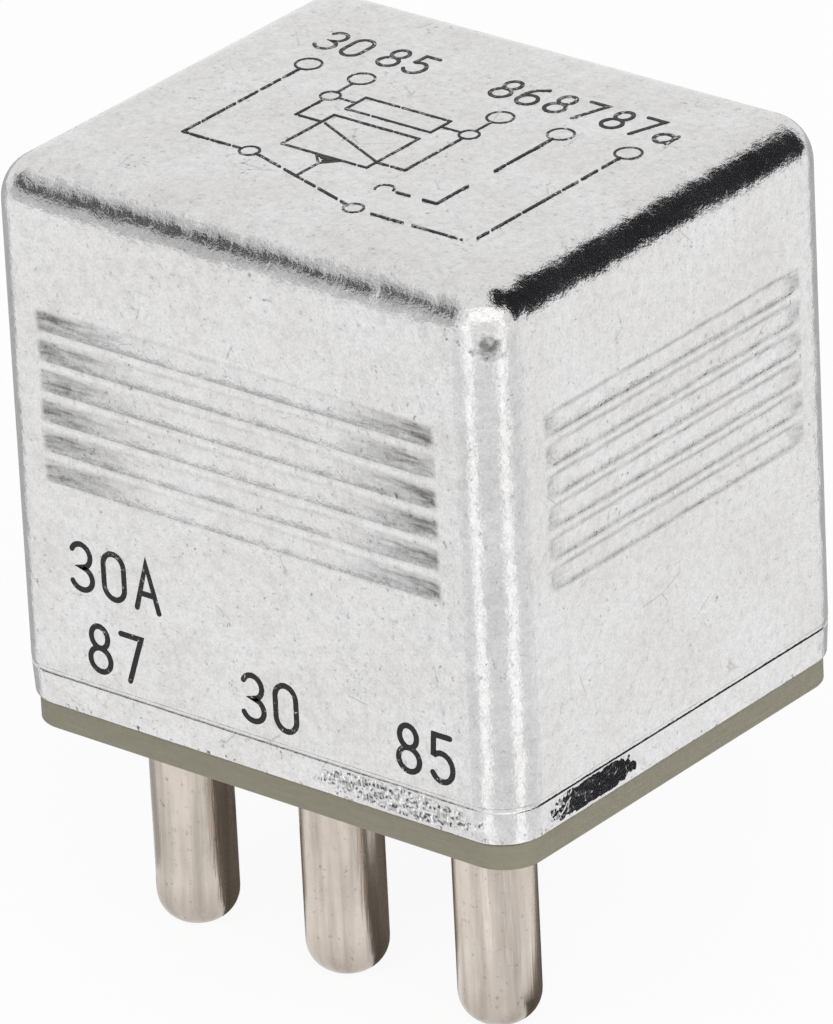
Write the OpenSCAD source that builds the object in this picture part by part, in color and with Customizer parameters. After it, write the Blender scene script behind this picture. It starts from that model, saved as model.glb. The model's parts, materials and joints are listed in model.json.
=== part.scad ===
// Plug-in automotive changeover relay: a ribbed square can crimped over a
// laminate base plate, with five round pins below and the coil, armature and
// contact set inside. +Z is up, the pin tips stand on z = 0, and the face
// with three pins beneath it looks along -Y.

/* [Can] */
// Width of the can, across the front
can_w = 30; // [28.6:0.1:36]
// Depth of the can, front to back
can_d = 25.7; // [24.6:0.1:32]
// Height of the can, lip to roof
can_h = 27.75; // [27:0.05:34]
// Thickness of the drawn sheet
can_wall = 0.5; // [0.3:0.05:0.7]
// Radius of the roof edges and of the upright corners
edge_r = 2.3; // [1.4:0.1:2.8]
// Height of the crimped lip, up to its crease
lip_h = 1.85; // [1.4:0.05:2.2]
// How far the lip is turned in at its mouth
lip_in = 0.1; // [0.05:0.01:0.2]
// Radius of the lip's outer edge
lip_r = 0.2; // [0.1:0.02:0.28]
// Width of the crease that is pressed in round the can
crease_w = 0.3; // [0.3:0.05:0.6]
// Depth of the crease
crease_depth = 0.08; // [0.06:0.01:0.15]

/* [Pressed ribs] */
// Number of flutes in each side
rib_count = 6; // [1:1:8]
// Distance from one flute to the next
rib_pitch = 1.55; // [1.45:0.05:1.8]
// Width of a flute at the can's face
rib_w = 1.1; // [0.8:0.05:1.4]
// Depth of a flute
rib_depth = 0.1; // [0.1:0.01:0.3]
// Length of the flutes in the front and back
rib_long = 23.3; // [12:0.1:23.4]
// Length of the flutes in the two sides
rib_short = 19; // [10:0.1:19.2]
// Distance of the flutes' middle from the middle of a side
rib_shift = 0.3; // [0:0.05:0.4]
// Height of the middle of the flutes above the lip
rib_mid = 16.4; // [11:0.05:17.6]

/* [Base plate] */
// Thickness of the laminate plate
plate_t = 4.25; // [4.1:0.05:4.8]
// Thickness of the flange that shows below the lip
plate_show = 1.3; // [1:0.05:1.4]
// Distance of the flange's edge inside the can's face
plate_inset = 0.3; // [0.1:0.05:0.4]
// Side gap between the plate and the can
plate_gap = 0.05; // [0.02:0.01:0.1]

/* [Pins] */
// Diameter of a plug pin
pin_d = 4; // [3.4:0.1:4.4]
// Length of a pin below the plate
pin_len = 11.35; // [8:0.05:14]
// How far a pin's neck is let into the plate
pin_seat = 0.8; // [0.5:0.1:1.5]
// How much the neck is set in from the pin's side
neck_in = 0.25; // [0.2:0.05:0.35]
// Radius round the tip of a pin
tip_r = 1.6; // [0.8:0.1:1.65]
// Distance between neighbouring pins of a row
pin_pitch = 9.15; // [8.8:0.05:9.5]
// Distance between the two rows
row_gap = 11.05; // [10.8:0.05:11.3]
// Distance of the front row from the can's front face
row_inset = 5.7; // [5.4:0.1:5.9]
// Diameter of the tail that is riveted over inside
tail_d = 2.4; // [1.8:0.1:2.6]
// Diameter of the riveted head
head_d = 3.4; // [3:0.1:3.6]
// Thickness of the riveted head
head_t = 0.6; // [0.4:0.05:0.7]

/* [Terminal sheet] */
// Thickness of the solder lugs
lug_t = 0.5; // [0.3:0.05:0.6]
// Width of the solder lugs
lug_w = 3; // [2:0.1:3.4]
// Distance from a pin to the upright tab of its lug
lug_reach = 4.2; // [3.9:0.1:4.4]
// Height of a solder tab above the plate
tab_h = 3; // [2.6:0.1:3.6]
// Thickness of the fixed contact brackets
arm_t = 0.8; // [0.5:0.05:0.9]
// Width of the fixed contact brackets
arm_w = 4.4; // [3.4:0.1:4.6]
// Distance from a pin to the upright leg of its bracket
leg_reach = 3.1; // [2.8:0.1:3.2]
// How far sheet runs on past the middle of a hole at its end
end_len = 2.1; // [1.9:0.1:2.3]

/* [Magnet] */
// Distance of the coil's axis from the can's right face
coil_in = 11; // [10.9:0.05:11.2]
// Distance of the coil's axis behind the front row of pins
coil_back = 8.35; // [8.05:0.05:8.55]
// Thickness of the yoke
yoke_t = 1.4; // [1.2:0.05:1.5]
// Width of the yoke
yoke_w = 10; // [9:0.1:10.4]
// Diameter of the core
core_d = 5; // [4:0.1:5.2]
// Diameter of the core's riveted foot
core_foot_d = 3.6; // [3:0.1:3.7]
// Diameter of the pole face
pole_d = 8.4; // [7:0.1:8.8]
// Thickness of the pole face
pole_t = 1.2; // [0.8:0.1:1.3]
// Diameter of the rivets that hold the yoke down
clamp_d = 1.8; // [1.4:0.1:2]
// Height of the bobbin over both flanges
bobbin_h = 15.4; // [14:0.1:15.6]
// Diameter of the bobbin's flanges
bobbin_d = 12; // [11.4:0.1:12.4]
// Thickness of the bobbin's flanges and tube
bobbin_wall = 0.8; // [0.5:0.05:0.9]
// Outer diameter of the winding
winding_d = 11; // [9.5:0.1:11.2]
// Diameter of the coil's lead wire
lead_d = 0.3; // [0.2:0.02:0.36]
// Gap between the bobbin's rim and the yoke
bobbin_gap = 0.4; // [0.3:0.05:0.5]

/* [Armature and contacts] */
// Angle that the armature swings through
swing = 3; // [2:0.1:3.2]
// Thickness of the armature
armature_t = 1.2; // [0.9:0.05:1.3]
// Width of the armature
armature_w = 9; // [7:0.1:9.6]
// How far the armature reaches past the pole face
armature_over = 1.1; // [0.6:0.1:1.4]
// Thickness of the contact leaf
leaf_t = 0.3; // [0.2:0.05:0.35]
// Width of the contact leaf
leaf_w = 5; // [4.4:0.1:5.2]
// Diameter of a contact button
button_d = 3; // [2.4:0.1:3.2]
// Thickness of a contact button
button_t = 0.6; // [0.4:0.05:0.65]
// Diameter of a contact's shank
shank_d = 1.4; // [1:0.1:1.6]
// Diameter of the rivets that hold the leaf
rivet_d = 1.2; // [0.9:0.1:1.4]
// Distance between the rivets that hold the leaf
rivet_gap = 2.6; // [2.5:0.1:3]

/* [Return spring] */
// Diameter of the spring's wire
spring_wire = 0.3; // [0.24:0.02:0.32]
// Outer diameter of the spring
spring_d = 1.7; // [1.4:0.1:1.7]
// Number of turns
spring_turns = 11; // [6:1:13]
// Height of the spring's lower seat above the yoke's foot
seat_h = 8.4; // [7:0.1:9.5]

/* [Wiring] */
// Diameter of the copper braid
braid_d = 1.2; // [0.9:0.05:1.25]
// Diameter of the resistor's body
resistor_d = 2.3; // [1.8:0.1:2.4]
// Length of the resistor's body
resistor_l = 6; // [5:0.1:6.4]
// Height of the resistor above the plate
resistor_up = 5; // [4.6:0.1:6]
// Diameter of the resistor's leads
resistor_lead = 0.5; // [0.4:0.05:0.56]

/* [Hidden] */
$fn = 64;
// Gap between pieces that are riveted or soldered together
fit = 0.02;
// Gap between pieces that lie close side by side
near = 0.05;
// Clearance left at the end of the armature's swing
stop_gap = 0.04;

// Heights
plate_z = pin_len;
lip_z = plate_z + plate_show;
crease_z = lip_z + lip_h;
roof_z = lip_z + can_h;
floor_z = plate_z + plate_t;
foot_z = floor_z + yoke_t;
bobbin_top = foot_z + bobbin_h;
pole_z = bobbin_top + pole_t;

// Plan of the pins and of the coil
front_y = row_inset - can_d / 2;
rear_y = front_y + row_gap;
pin_r = pin_d / 2;
PIN_30 = [0, front_y];
PIN_85 = [pin_pitch, front_y];
PIN_86 = [0, rear_y];
PIN_87 = [-pin_pitch, front_y];
PIN_87A = [-pin_pitch, rear_y];
PINS = [PIN_30, PIN_85, PIN_86, PIN_87, PIN_87A];
coil_x = can_w / 2 - coil_in;
coil_y = front_y + coil_back;

// Yoke, pivot and armature
leg_x = coil_x + bobbin_d / 2 + bobbin_gap;
pole_reach = leg_x - coil_x + pole_d / 2;
armature_z = pole_z + pole_reach * sin(swing) + stop_gap;
pivot_z = armature_z - near;
leaf_z = armature_z + armature_t;
foot_x = coil_x - core_foot_d / 2 - 1.3;
tail_w = 3;
hook_d = 3 * spring_wire;
spring_x = leg_x + yoke_t + near + spring_d / 2 + 0.1;
tail_x = spring_x + hook_d / 2 + 0.4;
seat_z = foot_z + seat_h;
seat_t = 0.8;
clamp_x = coil_x + 3.4;
clamp_y = 3.2;
sink_t = 0.6;
rivet_sink = 0.35;

// Contacts
contact_x = -pin_pitch;
button_r = button_d / 2;
upper_z = leaf_z + leaf_t + button_t + fit;
lower_z = pivot_z + (leaf_z - button_t - pivot_z) * cos(swing)
          - (leg_x - contact_x + button_r) * sin(swing) - stop_gap;
upper_arm = upper_z + button_t + (arm_t + fit) / 2;
lower_arm = lower_z - button_t - (arm_t + fit) / 2;
bend = 1;
shank_head = 0.35;

// Flutes and crease: the circle that leaves a groove of a given width and depth
function groove_r(w, depth) = (w * w / 4 + depth * depth) / (2 * depth);
rib_r = groove_r(rib_w, rib_depth);
rib_out = rib_r - rib_depth;
crease_r = groove_r(crease_w, crease_depth);
crease_out = crease_r - crease_depth;
bead_h = sqrt(pow(crease_r + can_wall, 2) - pow(crease_out + can_wall, 2));

function unit(v) = v / norm(v);
function side_of(t, u) = unit(u - (u * t) * t);
function tangents(p) = [for (i = [0:len(p) - 1]) unit(p[min(i + 1, len(p) - 1)] - p[max(i - 1, 0)])];
function normals(t) = [for (i = 0, u = side_of(t[0], [0.31, 0.52, 0.79]); i < len(t);
                            i = i + 1, u = side_of(t[min(i, len(t) - 1)], u)) u];
function spline(a, b, c, d, s) = 0.5 * (2 * b + (c - a) * s + (2 * a - 5 * b + 4 * c - d) * s * s
                                        + (3 * b - a - 3 * c + d) * s * s * s);
function smooth(p, n) = let (m = len(p) - 1)
    concat([for (i = [0:m - 1], k = [0:n - 1])
                spline(p[max(i - 1, 0)], p[i], p[i + 1], p[min(i + 2, m)], k / n)], [p[m]]);

// A round wire along the points of a path
module wire(path, d, sides = 8) {
    t = tangents(path);
    u = normals(t);
    count = len(path);
    points = [for (i = [0:count - 1], k = [0:sides - 1])
                  path[i] + d / 2 * (cos(360 * k / sides) * u[i] + sin(360 * k / sides) * cross(t[i], u[i]))];
    walls = [for (i = [0:count - 2], k = [0:sides - 1])
                 let (j = (k + 1) % sides)
                 [i * sides + k, (i + 1) * sides + k, (i + 1) * sides + j, i * sides + j]];
    first = [[for (k = [0:sides - 1]) k]];
    last = [[for (k = [0:sides - 1]) (count - 1) * sides + sides - 1 - k]];
    polyhedron(points, concat(first, walls, last));
}

// A flat strip seen edge on, with square bends of radius r on its middle line
module strip(path, t, r) {
    last = len(path) - 1;
    for (i = [0:last - 1]) {
        run = unit(path[i + 1] - path[i]);
        a = path[i] + run * (i == 0 ? 0 : r);
        b = path[i + 1] - run * (i == last - 1 ? 0 : r);
        translate((a + b) / 2) rotate(atan2(run.y, run.x)) square([norm(b - a), t], center = true);
    }
    for (i = [1:last - 1]) {
        into = unit(path[i] - path[i - 1]);
        out = unit(path[i + 1] - path[i]);
        middle = path[i] - into * r + out * r;
        intersection() {
            translate(middle) difference() {
                circle(r + t / 2);
                circle(r - t / 2);
            }
            translate(middle + (into - out) * (r + t) / 2) square(r + t, center = true);
        }
    }
}

// Places a drawing of (y, z) across a width along X
module across_x(x, w) {
    translate([x - w / 2, 0, 0]) rotate([90, 0, 90]) linear_extrude(w) children();
}

// Places a drawing of (x, z) across a width along Y
module across_y(y, w) {
    translate([0, y + w / 2, 0]) rotate([90, 0, 0]) linear_extrude(w) children();
}

module hole(x, y, z, d, h) {
    translate([x, y, z - h / 2]) cylinder(d = d, h = h);
}

// A rounded rectangular plate
module plate(w, d, h, r) {
    linear_extrude(h) {
        square([w - 2 * r, d], center = true);
        square([w, d - 2 * r], center = true);
        for (x = [-1, 1], y = [-1, 1]) translate([x * (w / 2 - r), y * (d / 2 - r)]) circle(r);
    }
}

// A quarter of a disc, to the right and above or below
module quarter(r, up) {
    intersection() {
        circle(r);
        translate([0, up ? 0 : -r]) square(r);
    }
}

// One wall of the can outward from the corner's centre line, roof edge to crease
module wall_outline(r, top, start) {
    translate([0, top - r]) quarter(r, true);
    translate([start, crease_z]) square([r - start, top - r - crease_z]);
    if (start < 0) translate([start, top - r]) square([-start, r]);
}

module wall_section() {
    round_z = lip_z + lip_r;
    mouth = edge_r - lip_in;
    inner_r = edge_r - can_wall;
    difference() {
        union() {
            wall_outline(edge_r, roof_z, 0);
            polygon([[0, round_z], [mouth, round_z], [edge_r, crease_z], [0, crease_z]]);
            translate([0, lip_z]) square([mouth - lip_r, lip_r]);
            translate([mouth - lip_r, round_z]) quarter(lip_r, false);
        }
        difference() {
            union() {
                wall_outline(inner_r, roof_z - can_wall, -can_wall);
                polygon([[-can_wall, lip_z - 1], [inner_r - lip_in, lip_z - 1], [inner_r - lip_in, lip_z],
                         [inner_r, crease_z], [-can_wall, crease_z]]);
            }
            translate([edge_r + crease_out, crease_z]) circle(crease_r + can_wall);
        }
        translate([edge_r + crease_out, crease_z]) circle(crease_r);
    }
}

// A round bar with ball ends, lying along Y
module capsule(r, l) {
    rotate([90, 0, 0]) rotate_extrude() intersection() {
        union() {
            translate([0, -l / 2]) square([r, l]);
            for (s = [-1, 1]) translate([0, s * l / 2]) circle(r);
        }
        translate([0, -l / 2 - r]) square([r, l + 2 * r]);
    }
}

// The flutes of side k, counted from the right: odd sides are the front and back
module flutes(k, r) {
    half = k % 2 == 0 ? can_w / 2 : can_d / 2;
    shift = k % 2 == 0 ? rib_shift : -rib_shift;
    for (i = [0:rib_count - 1])
        translate([half + rib_out, shift, lip_z + rib_mid + (i - (rib_count - 1) / 2) * rib_pitch])
            capsule(r, (k % 2 == 0 ? rib_short : rib_long) - rib_w);
}

module can() color("gainsboro") {
    difference() {
        union() {
            for (k = [0:3]) rotate(90 * k) {
                half = k % 2 == 0 ? [can_w / 2, can_d / 2] : [can_d / 2, can_w / 2];
                translate([half.x - edge_r, 0, 0]) rotate([90, 0, 0])
                    linear_extrude(2 * (half.y - edge_r), center = true) wall_section();
                translate([half.x - edge_r, half.y - edge_r, 0])
                    rotate_extrude(angle = 90) wall_section();
                intersection() {
                    flutes(k, rib_r + can_wall);
                    translate([half.x - 2 * can_wall, -half.y, lip_z + 2])
                        cube([1.5 * can_wall, 2 * half.y, can_h - 4]);
                }
            }
            translate([0, 0, roof_z - can_wall / 2])
                cube([can_w - 2 * edge_r, can_d - 2 * edge_r, can_wall], center = true);
        }
        for (k = [0:3]) rotate(90 * k) flutes(k, rib_r);
    }
}

// Flange below the lip, neck that the crease is pressed into, and head above it
module base_plate() color("darkkhaki") {
    flange = 2 * plate_inset;
    neck = 2 * (can_wall + max(lip_in, crease_depth) + plate_gap);
    head = 2 * (can_wall + plate_gap);
    neck_top = crease_z + bead_h + near;
    difference() {
        union() {
            translate([0, 0, plate_z])
                plate(can_w - flange, can_d - flange, plate_show - near, edge_r - plate_inset);
            translate([0, 0, plate_z])
                plate(can_w - neck, can_d - neck, neck_top - plate_z, edge_r - neck / 2);
            translate([0, 0, neck_top])
                plate(can_w - head, can_d - head, floor_z - neck_top, edge_r - head / 2);
        }
        for (p = PINS) {
            hole(p.x, p.y, plate_z + plate_t / 2, tail_d + 2 * fit, plate_t + 2);
            hole(p.x, p.y, plate_z, pin_d + 2 * fit, 2 * pin_seat);
        }
        for (s = [-1, 1]) translate([clamp_x, coil_y + s * clamp_y, plate_z]) {
            hole(0, 0, plate_t / 2, clamp_d + 2 * fit, plate_t + 2);
            mirror([0, 0, 1]) clamp_sink(fit);
        }
    }
}

// A turned pin: plug, neck let into the plate, tail, and head spread over the sheet
module plug_pin(p, sheet) color("tan") {
    over = floor_z + sheet + fit;
    shoulder = plate_z + pin_seat - fit;
    translate([p.x, p.y, 0]) rotate_extrude() {
        translate([0, tip_r]) square([pin_r, plate_z - fit - tip_r]);
        translate([0, plate_z - fit]) square([pin_r - neck_in, shoulder - plate_z + fit]);
        square([pin_r - tip_r, tip_r]);
        intersection() {
            translate([pin_r - tip_r, tip_r]) circle(tip_r);
            square([pin_r, tip_r]);
        }
        translate([0, shoulder]) square([tail_d / 2, over - shoulder]);
        translate([0, over]) square([head_d / 2, head_t]);
    }
}

// A solder lug: ring round the pin's tail, strip, and an upright tab
module lug(p) color("goldenrod") {
    z = floor_z + fit / 2 + lug_t / 2;
    difference() {
        union() {
            across_y(p.y, lug_w)
                strip([[p.x, z], [p.x - lug_reach, z], [p.x - lug_reach, floor_z + tab_h]], lug_t, lug_t);
            hole(p.x, p.y, z, 2 * (tail_d / 2 + 0.5), lug_t);
        }
        hole(p.x, p.y, z, tail_d + 2 * fit, lug_t + 1);
    }
}

// A fixed contact bracket: foot on the plate, leg, and an arm that ends at the contact
module bracket(p, arm_z, arm_end) color("goldenrod") {
    z = floor_z + fit / 2 + arm_t / 2;
    leg_y = p.y + leg_reach;
    difference() {
        across_x(p.x, arm_w)
            strip([[p.y - end_len, z], [leg_y, z], [leg_y, arm_z], [arm_end, arm_z]], arm_t, bend);
        hole(p.x, p.y, z, tail_d + 2 * fit, arm_t + 1);
        hole(contact_x, coil_y, arm_z, shank_d + 2 * fit, arm_t + 1);
    }
}

// A fixed contact: button with its face at z, shank through the arm, spread head
module fixed_contact(z, up) color("silver") {
    back = button_t + arm_t + fit;
    translate([contact_x, coil_y, z]) rotate([up ? 180 : 0, 0, 0]) rotate_extrude() {
        square([button_r, button_t]);
        translate([0, button_t]) square([shank_d / 2, arm_t + fit]);
        translate([0, back]) square([shank_d / 2 + 0.4, shank_head]);
    }
}

module contact_no() fixed_contact(lower_z, true);
module contact_nc() fixed_contact(upper_z, false);

module yoke() color("darkgray") {
    z = floor_z + yoke_t / 2;
    x = leg_x + yoke_t / 2;
    difference() {
        union() {
            across_y(coil_y, yoke_w) strip([[foot_x, z], [x, z], [x, pivot_z]], yoke_t, yoke_t / 2 + 0.3);
            translate([x, coil_y - tail_w / 2, seat_z]) cube([tail_x - x, tail_w, seat_t]);
        }
        hole(coil_x, coil_y, z, core_foot_d + 2 * fit, yoke_t + 1);
        hole(PIN_86.x, PIN_86.y, z, head_d + 1, yoke_t + 1);
        hole(spring_x, coil_y, seat_z + seat_t / 2, hook_d, seat_t + 1);
        for (s = [-1, 1]) translate([clamp_x, coil_y + s * clamp_y, foot_z]) {
            hole(0, 0, -yoke_t / 2, clamp_d + 2 * fit, yoke_t + 1);
            clamp_sink(fit);
        }
    }
}

// Countersink of the yoke's rivets, with its wide end at the origin
module clamp_sink(gap) {
    translate([0, 0, -sink_t - gap]) cylinder(r1 = clamp_d / 2, r2 = clamp_d / 2 + sink_t, h = sink_t + gap);
}

// Rivets with both heads sunk flush, in the plate's underside and in the yoke's foot
module yoke_rivets() color("silver") {
    r = clamp_d / 2;
    head_r = r + sink_t - fit;
    low = plate_z + fit;
    high = foot_z - fit;
    for (s = [-1, 1]) translate([clamp_x, coil_y + s * clamp_y, 0]) rotate_extrude()
        polygon([[0, low], [head_r, low], [r, low + sink_t], [r, high - sink_t], [head_r, high], [0, high]]);
}

module core() color("gray") {
    translate([coil_x, coil_y, 0]) rotate_extrude() {
        translate([0, floor_z]) square([core_foot_d / 2, yoke_t]);
        translate([0, foot_z]) square([core_d / 2, bobbin_h]);
        translate([0, bobbin_top]) square([pole_d / 2, pole_t]);
    }
}

module bobbin() color("ivory") {
    bore_r = core_d / 2 + fit;
    translate([coil_x, coil_y, foot_z + fit / 2]) rotate_extrude() {
        translate([bore_r, 0]) square([bobbin_wall, bobbin_h - fit]);
        for (z = [0, bobbin_h - fit - bobbin_wall])
            translate([bore_r, z]) square([bobbin_d / 2 - bore_r, bobbin_wall]);
    }
}

module coil_winding() color("chocolate") {
    bottom = foot_z + bobbin_wall + near;
    inner_r = core_d / 2 + bobbin_wall + 3 * fit;
    start_r = winding_d / 2 - lead_d;
    lead_z = bottom + 0.7;
    tab_85 = PIN_85.x - lug_reach - lug_t / 2 - near - lead_d / 2;
    tab_86 = PIN_86.x - lug_reach + lug_t / 2 + near + lead_d / 2;
    translate([coil_x, coil_y, bottom]) rotate_extrude()
        translate([inner_r, 0]) square([winding_d / 2 - inner_r, bobbin_h - 2 * bobbin_wall - 2 * near]);
    wire(smooth([[coil_x + start_r * cos(-78), coil_y + start_r * sin(-78), lead_z],
                 [PIN_85.x - lug_reach - 0.2, coil_y - bobbin_d / 2 - 0.5, lead_z - 0.1],
                 [tab_85, PIN_85.y + 1.1, floor_z + tab_h - 0.7],
                 [tab_85, PIN_85.y, floor_z + tab_h - 1]], 4), lead_d, 6);
    wire(smooth([[coil_x + start_r * cos(167), coil_y + start_r * sin(167), lead_z],
                 [tab_86 + 1.15, PIN_86.y + 0.5, lead_z],
                 [tab_86, PIN_86.y + 0.9, floor_z + tab_h - 0.6],
                 [tab_86, PIN_86.y + 1.2, floor_z + tab_h - 1.2]], 4), lead_d, 6);
}

// Flat armature over the pole face, with a narrow tail behind the pivot
module armature() color("darkgray") {
    left = coil_x - pole_d / 2 - armature_over;
    right = leg_x + yoke_t;
    difference() {
        translate([0, 0, armature_z]) linear_extrude(armature_t) {
            translate([left, coil_y - armature_w / 2]) square([right - left, armature_w]);
            translate([leg_x, coil_y - tail_w / 2]) square([tail_x - leg_x, tail_w]);
        }
        hole(spring_x, coil_y, armature_z + armature_t / 2, hook_d, armature_t + 1);
        for (s = [-1, 1]) translate([coil_x + s * rivet_gap / 2, coil_y, armature_z]) {
            hole(0, 0, armature_t / 2, rivet_d + 2 * fit, armature_t + 1);
            cylinder(r1 = rivet_d / 2 + rivet_sink + fit, r2 = rivet_d / 2 + fit, h = rivet_sink);
        }
    }
}

module contact_leaf() color("peru") {
    right = coil_x + rivet_gap / 2 + 1.4;
    difference() {
        translate([0, 0, leaf_z]) linear_extrude(leaf_t) {
            translate([contact_x, coil_y - leaf_w / 2]) square([right - contact_x, leaf_w]);
            translate([contact_x, coil_y]) circle(d = leaf_w);
        }
        for (s = [-1, 1]) hole(coil_x + s * rivet_gap / 2, coil_y, leaf_z, rivet_d + 2 * fit, 2);
        hole(contact_x, coil_y, leaf_z, shank_d + 2 * fit, 2);
    }
}

module leaf_rivets() color("silver") {
    top = leaf_z + leaf_t;
    for (s = [-1, 1]) translate([coil_x + s * rivet_gap / 2, coil_y, 0]) rotate_extrude() {
        polygon([[0, armature_z], [rivet_d / 2 + rivet_sink, armature_z],
                 [rivet_d / 2, armature_z + rivet_sink], [rivet_d / 2, top], [0, top]]);
        translate([0, top]) square([rivet_d / 2 + 0.4, 0.4]);
    }
}

module moving_contact() color("silver") {
    translate([contact_x, coil_y, leaf_z - button_t]) rotate_extrude() {
        square([button_r, button_t]);
        square([shank_d / 2, 2 * button_t + leaf_t]);
        translate([0, button_t + leaf_t]) square([button_r, button_t]);
    }
}

// Tension spring from the seat on the yoke's leg up to the armature's tail
module return_spring() color("slategray") {
    r = (spring_d - spring_wire) / 2;
    low = seat_z + seat_t + 0.6;
    high = armature_z - 0.6;
    steps = 14;
    hook = near + spring_wire / 2;
    coil = [for (i = [0:spring_turns * steps])
                [r * cos(360 * i / steps), r * sin(360 * i / steps),
                 low + (high - low) * i / (spring_turns * steps)]];
    path = concat([[0, -0.8, seat_z - hook], [0, -0.3, seat_z - hook], [0, -0.08, seat_z],
                   [0, 0, seat_z + 0.25], [0, 0, low - 0.45], [r / 2, 0, low - 0.2]],
                  coil,
                  [[r / 2, 0, high + 0.2], [0, 0, high + 0.45], [0, 0, leaf_z - 0.25],
                   [0, 0.08, leaf_z], [0, 0.3, leaf_z + hook], [0, 0.8, leaf_z + hook]]);
    translate([spring_x, coil_y, 0]) wire(path, spring_wire, 6);
}

// Copper braid from the lug of terminal 30 up to the leaf
module braid() color("sandybrown") {
    x = PIN_30.x - lug_reach - lug_t / 2 - near - braid_d / 2;
    top = leaf_z + leaf_t + near + braid_d / 2;
    edge = coil_y - leaf_w / 2;
    wire(smooth([[x, PIN_30.y, floor_z + 0.9], [x, PIN_30.y, floor_z + tab_h],
                 [x, PIN_30.y + 0.3, floor_z + 0.5 * (leaf_z - floor_z)],
                 [x, PIN_30.y + 1.6, leaf_z - 3.4], [x, edge - 1.9, leaf_z - 0.6],
                 [x, edge + 0.1, top], [x, edge + 1.1, top], [x, edge + 2, top]], 5), braid_d, 8);
}

// Small resistor across the coil, on its two leads
module resistor() color("tan") {
    x = PIN_85.x - lug_reach - 1.4 - resistor_l / 2;
    y = can_wall + 0.9 + resistor_d / 2 - can_d / 2;
    z = floor_z + resistor_up;
    right = PIN_85.x - lug_reach + lug_t / 2 + near + resistor_lead / 2;
    left = PIN_86.x - lug_reach + lug_t / 2 + near + resistor_lead / 2;
    cap = 0.3;
    translate([x - resistor_l / 2, y, z]) rotate([0, 90, 0]) rotate_extrude() {
        translate([0, cap]) square([resistor_d / 2, resistor_l - 2 * cap]);
        square([resistor_d / 2 - cap, resistor_l]);
        for (s = [cap, resistor_l - cap]) intersection() {
            translate([resistor_d / 2 - cap, s]) circle(cap);
            square([resistor_d, resistor_l]);
        }
    }
    wire(smooth([[x + resistor_l / 2 - 0.3, y, z], [x + resistor_l / 2 + 0.7, y, z],
                 [right, y + 0.6, z - 0.8], [right, PIN_85.y - 0.9, floor_z + tab_h - 0.4],
                 [right, PIN_85.y + 0.6, floor_z + tab_h - 0.9]], 4), resistor_lead, 8);
    wire(smooth([[x - resistor_l / 2 + 0.3, y, z], [x - resistor_l / 2 - 0.5, y, z],
                 [left + 0.35, y + 1.6, z - 0.1], [left + 0.35, coil_y - 2.5, z - 1],
                 [left, PIN_86.y - 1, floor_z + tab_h - 0.4],
                 [left, PIN_86.y - 0.2, floor_z + tab_h - 0.9]], 4), resistor_lead, 8);
}

module pin_30() plug_pin(PIN_30, lug_t);
module pin_85() plug_pin(PIN_85, lug_t);
module pin_86() plug_pin(PIN_86, lug_t);
module pin_87() plug_pin(PIN_87, arm_t);
module pin_87a() plug_pin(PIN_87A, arm_t);
module lug_30() lug(PIN_30);
module lug_85() lug(PIN_85);
module lug_86() lug(PIN_86);
module bracket_87() bracket(PIN_87, lower_arm, coil_y + end_len);
module bracket_87a() bracket(PIN_87A, upper_arm, coil_y - end_len);

can();
base_plate();
pin_30();
pin_85();
pin_86();
pin_87();
pin_87a();
lug_30();
lug_85();
lug_86();
bracket_87();
bracket_87a();
contact_no();
contact_nc();
yoke();
yoke_rivets();
core();
bobbin();
coil_winding();
armature();
contact_leaf();
leaf_rivets();
moving_contact();
return_spring();
braid();
resistor();
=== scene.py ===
# %% [markdown]
# # An automotive relay in Blender
#
# The relay arrives from CAD as a fixed frame: every piece is already at its real size and
# place. This notebook gives the pieces their looks. It dresses each one in a procedural
# material, prints the terminal numbers and the circuit diagram, and sets up a small studio.
# First come the imports and the frame itself.

# %% Load the frame
import json
import math
import random

import bpy
from mathutils import Matrix, Vector


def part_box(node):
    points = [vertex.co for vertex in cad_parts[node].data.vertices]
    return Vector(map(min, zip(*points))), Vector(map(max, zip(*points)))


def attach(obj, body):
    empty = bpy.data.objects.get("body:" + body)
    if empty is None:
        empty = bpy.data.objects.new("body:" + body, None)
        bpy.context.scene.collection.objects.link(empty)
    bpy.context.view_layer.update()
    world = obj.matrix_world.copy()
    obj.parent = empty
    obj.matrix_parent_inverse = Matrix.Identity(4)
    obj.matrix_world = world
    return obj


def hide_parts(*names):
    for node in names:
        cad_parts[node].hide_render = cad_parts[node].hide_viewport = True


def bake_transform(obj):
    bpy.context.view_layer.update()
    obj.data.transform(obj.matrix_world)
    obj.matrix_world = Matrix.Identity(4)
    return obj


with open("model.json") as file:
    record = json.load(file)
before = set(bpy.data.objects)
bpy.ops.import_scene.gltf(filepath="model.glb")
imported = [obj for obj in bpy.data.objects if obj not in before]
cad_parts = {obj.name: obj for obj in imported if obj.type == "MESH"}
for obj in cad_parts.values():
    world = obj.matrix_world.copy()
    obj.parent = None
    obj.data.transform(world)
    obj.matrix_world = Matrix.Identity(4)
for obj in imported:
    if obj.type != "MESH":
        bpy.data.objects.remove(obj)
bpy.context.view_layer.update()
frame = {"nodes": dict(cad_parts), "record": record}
MM = 0.001

# %% [markdown]
# ## Colours and nodes
#
# Colours are easiest to judge as sRGB hex codes, but shaders work in linear light, so one
# function converts them. A second small function adds a node: sockets are linked, plain
# values are set.

# %% Colours and nodes


def linear(code):
    """An sRGB hex colour as linear RGBA."""
    channels = [int(code[i:i + 2], 16) / 255 for i in (1, 3, 5)]
    return [c / 12.92 if c <= 0.04045 else ((c + 0.055) / 1.055) ** 2.4 for c in channels] + [1.0]


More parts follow.
